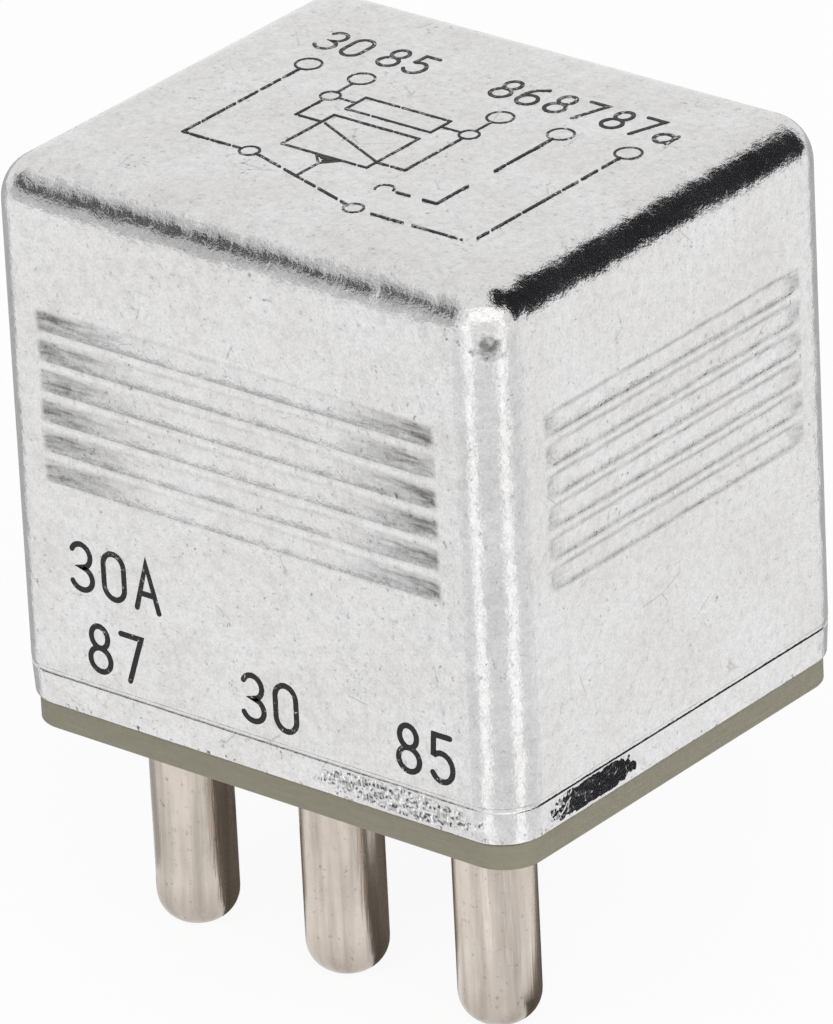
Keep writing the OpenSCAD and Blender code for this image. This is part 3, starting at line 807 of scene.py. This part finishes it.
# %% Circuit on the roof
LINE_STROKE = 0.125
ROW = 3.78
TERMINALS = {"30": -8.79, "85": -5.6, "86": 2.63, "87": 6.18, "87a": 10.1}
RING = 0.64
NODE_RING = 0.48
JOIN_ROW = 1.45
PIVOT = (-4.8, -5.48)
TIP = (3.28, -7.88)
COIL = (-4.06, -4.05, 0.97, -0.18)
RESISTOR = (-4.06, 0.67, 0.97, 2.18)


def below(name, y):
    """A point straight below the ring of a terminal."""
    return TERMINALS[name], y


circuit = [ring(x, ROW, RING) for x in TERMINALS.values()]
circuit += [ring(TERMINALS[name], JOIN_ROW, NODE_RING) for name in ("85", "86")]
circuit += [ring(*PIVOT, NODE_RING), ring(*TIP, NODE_RING)]
circuit += [arc(3.15, -5.45, 0.45, 0.45, 10, 215)]
circuit += [
    [below("85", ROW - RING), below("85", JOIN_ROW + NODE_RING)],
    [below("86", ROW - RING), below("86", JOIN_ROW + NODE_RING)],
    [(TERMINALS["85"] + NODE_RING, JOIN_ROW), (RESISTOR[0], JOIN_ROW)],
    [(RESISTOR[2], JOIN_ROW), (TERMINALS["86"] - NODE_RING, JOIN_ROW)],
    [(COIL[0] + 0.25, -1.15), (COIL[2], -3.3)],
    [(-1.22, -4.9), (-1.22, -6.4)],
    [(-1.85, -4.22), (-0.62, -4.22), (-1.22, -4.85), (-1.85, -4.22)],
    [(-1.5, -4.3), (-0.95, -4.3), (-1.22, -4.55)],
]
# Each line that has flaked, with the mean length of its dashes and of its gaps.
flaking = [
    (box(*RESISTOR), 2.2, 0.16),
    (box(*COIL), 3.0, 0.14),
    ([below("85", JOIN_ROW - NODE_RING), below("85", -1.1), (COIL[0], -1.1)], 1.2, 0.16),
    ([below("86", JOIN_ROW - NODE_RING), below("86", -3.33), (COIL[2], -3.33)], 1.3, 0.16),
    ([below("30", ROW - RING), below("30", PIVOT[1]), (PIVOT[0] - NODE_RING, PIVOT[1])], 1.1, 0.2),
    ([(PIVOT[0] + NODE_RING, PIVOT[1] - 0.08), (TIP[0] - NODE_RING, TIP[1] + 0.14)], 1.5, 0.3),
    ([(TIP[0] + 1.1, -7.94), (9.6, -7.94)], 2.2, 0.8),
    ([below("87a", ROW - RING), below("87a", -7.4)], 1.8, 0.3),
    ([below("87", ROW - RING), below("87", -1.15)], 2.0, 0.15),
]
for seed, (stroke, dash, gap) in enumerate(flaking, 1):
    circuit += flaked(stroke, dash, gap, seed)
circuit += [
    [below("87", -3.15), below("87", -5.45), (5.4, -5.45)],
    [(4.6, -5.45), (3.85, -5.45)],
]
print_strokes("roof_circuit", circuit, LINE_STROKE, on_roof, FADED_INK)

# %% [markdown]
# ## Labels on the roof
#
# A row of terminal names stands behind the circuit, each close to the ring that it names.

# %% Labels on the roof
LABELS = {"30": -8.8, "85": -5.05, "86": 1.65, "87": 4.85, "87a": 8.95}
LABEL_ROW = 6.5
LABEL_HEIGHT = 1.95
LABEL_PITCH = 1.55
LABEL_STROKE = 0.2
labels = []
for name, x in LABELS.items():
    labels += write(name, x, LABEL_ROW, LABEL_HEIGHT, LABEL_PITCH)
print_strokes("roof_labels", labels, LABEL_STROKE, on_roof, FADED_INK)

# %% [markdown]
# ## Floor
#
# The floor is white paper. More light would make it whiter but would bleach the relay too.
# Instead Light Path tells it which rays come from the camera, from a reflection or through
# glass, and to those it glows white. The small part that is still lit by the lamps keeps
# the relay's shadow.

# %% Floor
SEEN_GLOW = 0.92
REFLECTED_GLOW = 0.96


def background_rays(tree, seen, reflected):
    """One share for rays from the camera, another for those in a reflection or through glass."""
    path = add(tree, "ShaderNodeLightPath").outputs
    other = compute(tree, "MAXIMUM", path["Is Glossy Ray"], path["Is Transmission Ray"])
    return total(tree, product(tree, path["Is Camera Ray"], seen), product(tree, other, reflected))


def floor_paper():
    """Matt white paper that glows for the camera and in reflections."""
    material, tree, shader, place = new_material("white_paper", Roughness=0.9)
    colour = blend(tree, noise(tree, place, 6.0), "#F9F9F8", "#FCFCFB")
    tree.links.new(colour, shader.inputs["Base Color"])
    glow = add(tree, "ShaderNodeEmission", {"Strength": 1.0}).outputs[0]
    share = background_rays(tree, SEEN_GLOW, REFLECTED_GLOW)
    mixed = add(tree, "ShaderNodeMixShader", {0: share, 1: shader.outputs[0], 2: glow}).outputs[0]
    tree.links.new(mixed, tree.nodes["Material Output"].inputs["Surface"])
    return material


def panel(name, corners, material):
    """A flat four-cornered piece of the studio."""
    mesh = bpy.data.meshes.new(name)
    mesh.from_pydata(corners, [], [(0, 1, 2, 3)])
    mesh.materials.append(material)
    piece = bpy.data.objects.new(name, mesh)
    bpy.context.collection.objects.link(piece)
    return piece


FLOOR = -0.0001
REACH = 2.0
spread = ((-REACH, -REACH), (REACH, -REACH), (REACH, REACH), (-REACH, REACH))
panel("table_top", [(x, y, FLOOR) for x, y in spread], floor_paper())
print("table top", 2 * REACH, "m wide")

# %% [markdown]
# ## Surroundings
#
# The world lights the relay evenly from all round. It is white where the camera sees it, and
# a little greyer in a reflection, so that the metal has a tone of its own.

# %% Surroundings
LIT_LEVEL = 0.64
REFLECTED_SKY = 0.78
world = bpy.data.worlds.new("studio")
bpy.context.scene.world = world
world.use_nodes = True
tree = world.node_tree
surround = tree.nodes["Background"]
surround.inputs["Color"].default_value = linear("#FFFFFF")
share = background_rays(tree, 1.0, REFLECTED_SKY)
strength = remap(tree, share, 0.0, 1.0, LIT_LEVEL, 1.0)
tree.links.new(strength, surround.inputs["Strength"])
print("the world lights the relay at", LIT_LEVEL, "and is seen at 1")

# %% [markdown]
# ## Cards
#
# Metal looks like metal by what it mirrors. Cards round the relay are seen only in its
# reflections, so they shape its look and leave its light alone. Dark ones behind on the
# right and grey ones on the left draw the dark lines along the rounded roof edges. A bright
# one over the camera and its two legs light up the near corner.

# %% Cards
MIDDLE = Vector((0, 0, 0.03))


def paint(name, code, strength=1.0):
    """A card's colour, which its reflection shows as it is written at a strength of 1."""
    material = bpy.data.materials.new(name)
    material.use_nodes = True
    tree = material.node_tree
    glow = add(tree, "ShaderNodeEmission", {"Color": linear(code), "Strength": strength}).outputs[0]
    tree.links.new(glow, tree.nodes["Material Output"].inputs["Surface"])
    return material


def toward(azimuth, elevation):
    """The direction with this azimuth from +X towards +Y, and this elevation, in degrees."""
    a, e = math.radians(azimuth), math.radians(elevation)
    return Vector((math.cos(e) * math.cos(a), math.cos(e) * math.sin(a), math.sin(e)))


def reflected_only(piece):
    """Leaves a piece in reflections and takes it out of everything else."""
    piece.visible_camera = False
    piece.visible_diffuse = False
    piece.visible_shadow = False


def card(name, azimuth, elevation, distance, wide, high, material):
    """A card that faces the relay's middle and is wide x high degrees in its view."""
    out = toward(azimuth, elevation)
    aside = Vector((0, 0, 1)).cross(out).normalized() * math.tan(math.radians(wide / 2)) * distance
    upward = out.cross(aside).normalized() * math.tan(math.radians(high / 2)) * distance
    centre = MIDDLE + out * distance
    corners = [centre + i * aside + j * upward for i, j in ((-1, -1), (1, -1), (1, 1), (-1, 1))]
    reflected_only(panel(name, corners, material))


card("card_right", 50, 25, 0.35, 46, 46, paint("black_card", "#2A2A2D"))
card("card_top", 32, 58, 0.35, 44, 24, paint("dark_card", "#2C2C2E"))
card("card_left", -139, 22, 0.24, 48, 52, paint("grey_card", "#CCCCCE"))
card("card_left_core", -140, 26, 0.2, 36, 17, paint("slate_card", "#545456"))
card("card_near", -40, 40, 0.6, 78, 26, paint("bright_card", "#FFFFFF", 1.35))
white_card = paint("white_card", "#FFFFFF", 1.5)
card("card_leg_left", -89, 10, 0.5, 11, 20, white_card)
card("card_leg_right", -10, 10, 0.5, 13, 20, white_card)

# %% [markdown]
# ## Strips on the table
#
# What lies on the table near the relay shows in its lower walls and corners. A grey zone in
# front holds two bright strips, for the light lines down the near corner. Dull zones beside
# the other two corners darken the outlines of the can. Under the relay lies a dark sheet, a
# painted shadow that the pins reflect. Sheets that overlap lie a hair apart.

# %% Strips on the table
NEAR_CORNER = Vector((0.012, -0.0105, 0))
LEFT_CORNER = Vector((-0.012, -0.0105, 0))
RIGHT_CORNER = Vector((0.012, 0.0105, 0))
SHEET = 0.00005
STRIP_START = 0.005
STRIP_END = 0.6


def strip(name, corner, azimuth, wide, layer, material):
    """A strip on the table that runs away from a corner of the can and widens as it goes."""
    start = corner + Vector((0, 0, layer * SHEET))
    one, other = toward(azimuth - wide / 2, 0), toward(azimuth + wide / 2, 0)
    legs = [one * STRIP_START, one * STRIP_END, other * STRIP_END, other * STRIP_START]
    reflected_only(panel(name, [start + leg for leg in legs], material))


strip("zone_front", NEAR_CORNER, -43, 158, 1, paint("grey_zone", "#EDEDEE"))
dull_zone = paint("dull_zone", "#BCBCBE")
strip("zone_left", LEFT_CORNER, -197, 52, 1, dull_zone)
strip("zone_right", RIGHT_CORNER, 98, 52, 1, dull_zone)
white_strip = paint("white_strip", "#FFFFFF", 1.22)
strip("strip_left", NEAR_CORNER, -85, 20, 2, white_strip)
strip("strip_right", NEAR_CORNER, -11, 22, 2, white_strip)
# A dark sheet under the relay: a painted shadow, seen only in reflections.
shaded = ((-0.014, -0.007), (0.014, -0.007), (0.014, 0.012), (-0.014, 0.012))
under = [Vector((x, y, 3 * SHEET)) for x, y in shaded]
reflected_only(panel("zone_under", under, paint("dark_zone", "#6B655E")))

# %% [markdown]
# ## Lights
#
# One wide softbox hangs above and behind the camera. It gives the shadow its direction, and
# the rest of the light comes evenly from all round. Reflections leave the softbox out and
# show the bright card in its place.

# %% Lights


def softbox(name, azimuth, elevation, distance, size, watts):
    """A wide lamp that faces the relay's middle and isn't itself seen."""
    light = bpy.data.lights.new(name, "AREA")
    light.shape = "RECTANGLE"
    light.size, light.size_y = size
    light.energy = watts
    piece = bpy.data.objects.new(name, light)
    bpy.context.collection.objects.link(piece)
    out = toward(azimuth, elevation)
    piece.location = MIDDLE + out * distance
    piece.rotation_euler = out.to_track_quat("Z", "Y").to_euler()
    piece.visible_camera = False
    piece.visible_glossy = False
    print(name, "shines at", round(watts / (math.pi * size[0] * size[1]), 2))


softbox("softbox", -40, 41, 0.7, (1.1, 0.34), 2.8)
bpy.context.scene.view_settings.view_transform = "Standard"
